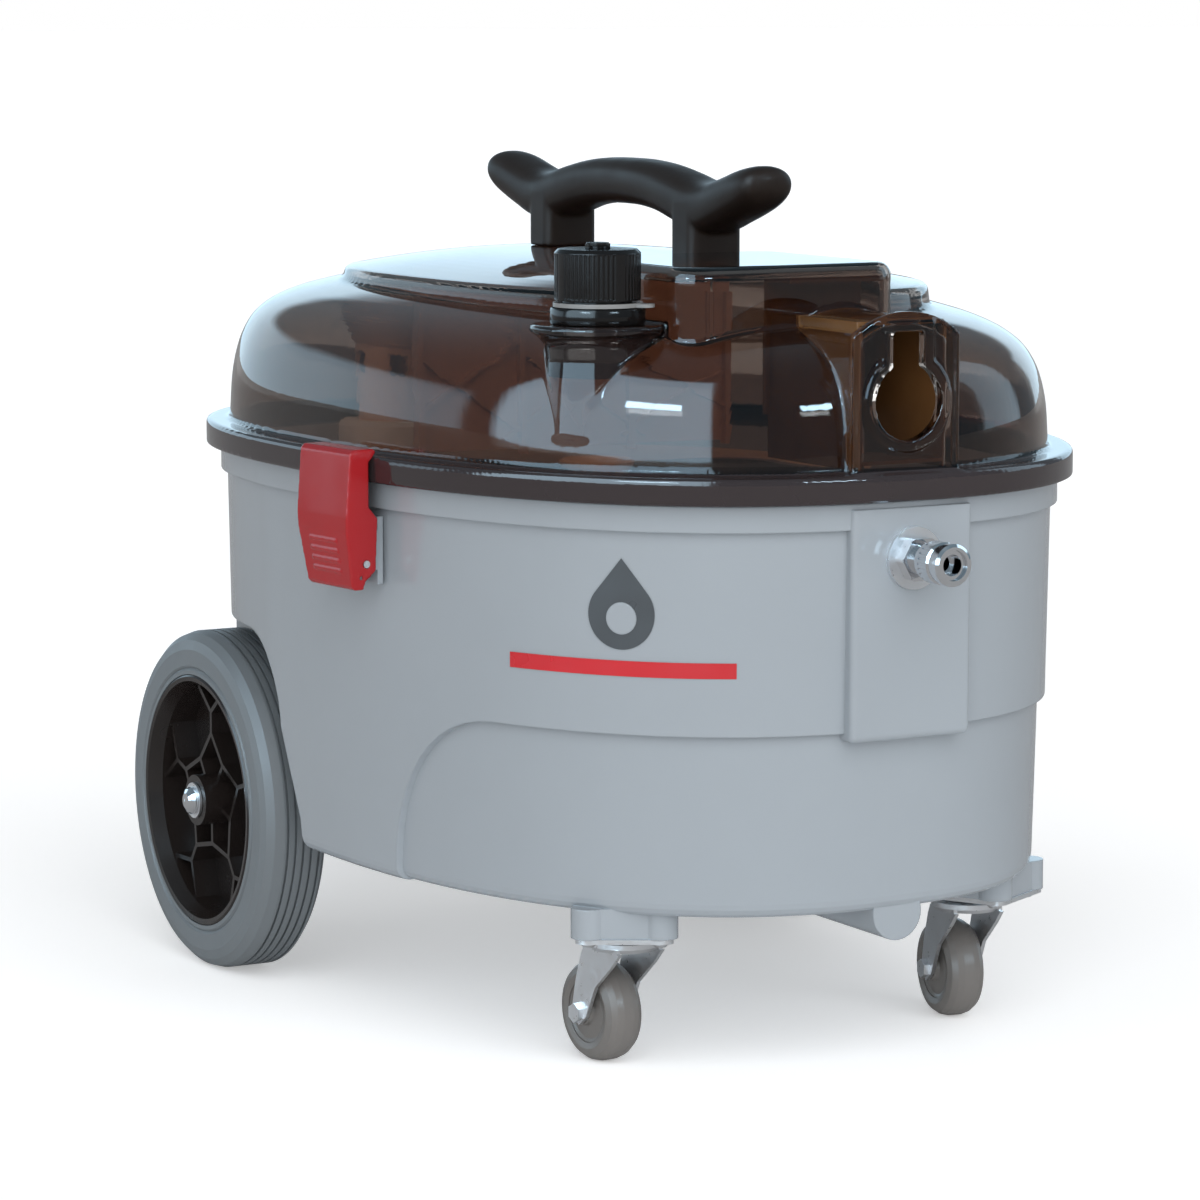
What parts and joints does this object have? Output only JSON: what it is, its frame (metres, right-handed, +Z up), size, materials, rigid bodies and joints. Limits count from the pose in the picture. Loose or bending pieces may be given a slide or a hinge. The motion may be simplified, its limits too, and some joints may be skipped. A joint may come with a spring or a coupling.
{
  "type": "carpet cleaner",
  "caption": "Rolling spray-extraction carpet cleaner with smoked dome lid, side latches, carry handle, rear wheels and swivel casters.",
  "frame": {"origin": "on the floor, at the centre of the bounding box in X and Y", "axes": "-Y is the front with the hose port, +Z up, +X the right side seen from behind"},
  "size_m": [0.4532, 0.6125, 0.4796],
  "materials": {
    "tank_plastic": "glossy moulded",
    "smoked_plastic": "clear smoked brown, polished",
    "dark_plastic": "satin",
    "black_plastic": "glossy",
    "red_plastic": "satin gloss",
    "clear_strap": "translucent satin",
    "white_plastic": "natural satin",
    "tyre_rubber": "matt",
    "caster_rubber": "satin",
    "black_rubber": "matt",
    "zinc_steel": "bright zinc plated",
    "steel": "machined",
    "chrome": "polished",
    "brass": "machined",
    "pump_metal": "cast",
    "motor_paint": "satin",
    "emblem_grey": "printed film",
    "emblem_red": "printed film"
  },
  "bodies": {
    "tank": {"tank_shell": "tank_plastic", "tank_gasket": "black_rubber", "motor_bay_wall": "white_plastic", "motor_deck": "white_plastic", "standpipe": "white_plastic", "vacuum_motor": "motor_paint", "solution_tank": "white_plastic", "filler_pipe": "white_plastic", "pump_body": "pump_metal", "pump_bracket": "zinc_steel", "suction_hose": "black_rubber", "intake_strainer": "white_plastic", "pressure_hose": "black_rubber", "coupler_washer": "chrome", "coupler_body": "brass", "coupler_locknut": "brass", "front_emblem": "emblem_grey", "front_stripe": "emblem_red", "switch_panel": "black_plastic", "power_inlet": "black_plastic", "exhaust_grille": "dark_plastic", "latch_brackets": "black_plastic", "latch_pins": "steel", "rear_axle": "zinc_steel", "axle_washers": "zinc_steel", "axle_caps": "chrome", "caster_plates": "zinc_steel", "caster_plate_screws": "zinc_steel"},
    "lid": {"lid_dome": "smoked_plastic", "hose_port_plate": "smoked_plastic", "lid_handle": "dark_plastic", "handle_screws": "zinc_steel", "hose_deflector": "smoked_plastic", "splash_baffle": "smoked_plastic", "neck_insert": "black_plastic", "cap_strap": "clear_strap"},
    "filler_cap": {"filler_cap": "black_plastic", "cap_vent": "black_plastic"},
    "bucket": {"recovery_bucket": "tank_plastic"},
    "float": {"ring_float": "white_plastic"},
    "rotor": {"motor_rotor": "steel"},
    "plunger": {"pump_plunger": "steel"},
    "vacuum_rocker": {"vacuum_switch": "black_plastic"},
    "pump_rocker": {"pump_switch": "black_plastic"},
    "sleeve": {"coupler_sleeve": "chrome"},
    "latch_left": {"left_latch": "red_plastic"},
    "latch_right": {"right_latch": "red_plastic"},
    "wheel_left": {"left_tyre": "tyre_rubber", "left_hub": "black_plastic"},
    "wheel_right": {"right_tyre": "tyre_rubber", "right_hub": "black_plastic"},
    "caster_left": {"left_caster_fork": "zinc_steel", "left_caster_axle": "zinc_steel"},
    "caster_right": {"right_caster_fork": "zinc_steel", "right_caster_axle": "zinc_steel"},
    "caster_wheel_left": {"left_caster_tread": "caster_rubber", "left_caster_core": "caster_rubber"},
    "caster_wheel_right": {"right_caster_tread": "caster_rubber", "right_caster_core": "caster_rubber"}
  },
  "joints": [
    {"name": "left_wheel_spin", "type": "hinge", "parent": "tank", "child": "wheel_left", "pos_m": [-0.1856, 0.17925, 0.1], "axis": [1, 0, 0], "continuous": true},
    {"name": "right_wheel_spin", "type": "hinge", "parent": "tank", "child": "wheel_right", "pos_m": [0.1856, 0.17925, 0.1], "axis": [1, 0, 0], "continuous": true},
    {"name": "left_caster_swivel", "type": "hinge", "parent": "tank", "child": "caster_left", "pos_m": [-0.11, -0.166, 0.07], "axis": [0, 0, 1], "continuous": true},
    {"name": "right_caster_swivel", "type": "hinge", "parent": "tank", "child": "caster_right", "pos_m": [0.11, -0.166, 0.07], "axis": [0, 0, 1], "continuous": true},
    {"name": "left_caster_roll", "type": "hinge", "parent": "caster_left", "child": "caster_wheel_left", "pos_m": [-0.11169, -0.14406, 0.0275], "axis": [0.9971, 0.0767, 0], "continuous": true},
    {"name": "right_caster_roll", "type": "hinge", "parent": "caster_right", "child": "caster_wheel_right", "pos_m": [0.11352, -0.14428, 0.0275], "axis": [0.9871, -0.1599, 0], "continuous": true},
    {"name": "lid_lift", "type": "slide", "parent": "tank", "child": "lid", "axis": [0, 0, 1], "range_m": [0, 0.064]},
    {"name": "left_latch_release", "type": "hinge", "parent": "tank", "child": "latch_left", "pos_m": [-0.21019, -0.03265, 0.266], "axis": [0.0958, -0.9954, 0], "range_deg": [0, 45]},
    {"name": "right_latch_release", "type": "hinge", "parent": "tank", "child": "latch_right", "pos_m": [0.21019, -0.03265, 0.266], "axis": [0.0958, 0.9954, 0], "range_deg": [0, 45]},
    {"name": "cap_turn", "type": "hinge", "parent": "lid", "child": "filler_cap", "pos_m": [-0.125, -0.1638, 0.425], "axis": [0, 0, 1], "continuous": true},
    {"name": "bucket_lift", "type": "slide", "parent": "tank", "child": "bucket", "axis": [0, 0, 1], "range_m": [0, 0.05]},
    {"name": "float_rise", "type": "slide", "parent": "tank", "child": "float", "axis": [0, 0, 1], "range_m": [0, 0.055]},
    {"name": "rotor_spin", "type": "hinge", "parent": "tank", "child": "rotor", "pos_m": [-0.062, 0.20975, 0.2], "axis": [0, 0, 1], "continuous": true},
    {"name": "pump_stroke", "type": "slide", "parent": "tank", "child": "plunger", "axis": [0, 1, 0], "range_m": [-0.004, 0.004]},
    {"name": "vacuum_switch_rock", "type": "hinge", "parent": "tank", "child": "vacuum_rocker", "pos_m": [-0.046, 0.299, 0.25], "axis": [1, 0, 0], "range_deg": [0, 12]},
    {"name": "pump_switch_rock", "type": "hinge", "parent": "tank", "child": "pump_rocker", "pos_m": [-0.016, 0.299, 0.25], "axis": [1, 0, 0], "range_deg": [0, 12]},
    {"name": "sleeve_pull", "type": "slide", "parent": "tank", "child": "sleeve", "axis": [0, 1, 0], "range_m": [0, 0.003], "stiffness_N_per_m": 600, "springref_m": -0.003}
  ],
  "couplings": [
    {"joint": "left_latch_release", "follows": "lid_lift", "rad_per_m": 12},
    {"joint": "right_latch_release", "follows": "lid_lift", "rad_per_m": 12}
  ]
}
